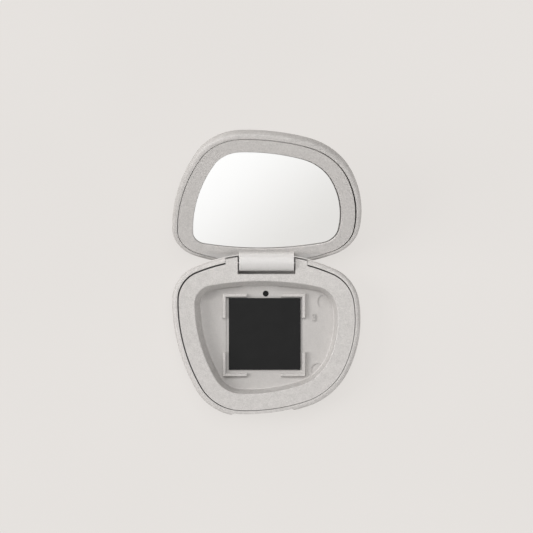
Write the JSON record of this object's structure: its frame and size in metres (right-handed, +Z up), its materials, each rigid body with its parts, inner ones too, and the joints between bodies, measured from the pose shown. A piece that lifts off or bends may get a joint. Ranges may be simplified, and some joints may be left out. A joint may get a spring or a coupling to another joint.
{
  "type": "mirror compact",
  "caption": "Pebble-shaped hinged compact, open, with a mirror in the lid and a sunk well with a square pan seat.",
  "frame": {"origin": "centre of the base's flat underside", "axes": "+Z up out of the underside, +Y towards the hinge, +X along the hinge to the right"},
  "size_m": [0.0706, 0.106, 0.0408],
  "materials": {
    "shell_plastic": "pale warm-grey moulded plastic, fine satin",
    "liner_plastic": "pale warm-grey moulded plastic, fine matte",
    "black_pad": "matte black",
    "steel": "plain",
    "magnet": "bright plated",
    "mirror_glass": "silvered glass",
    "tape": "white adhesive sheet"
  },
  "bodies": {
    "base": {"base_shell": "shell_plastic", "base_liner": "liner_plastic", "pan_pad": "black_pad", "weight_plate": "steel", "base_magnet": "magnet", "hinge_pin": "steel"},
    "lid": {"lid_shell": "shell_plastic", "lid_frame": "liner_plastic", "mirror": "mirror_glass", "mirror_tape": "tape", "lid_magnet": "magnet"}
  },
  "joints": [
    {"name": "lid_hinge", "type": "hinge", "parent": "base", "child": "lid", "pos_m": [0, 0.02692, 0.00835], "axis": [1, 0, 0], "range_deg": [0, 143.1]}
  ]
}
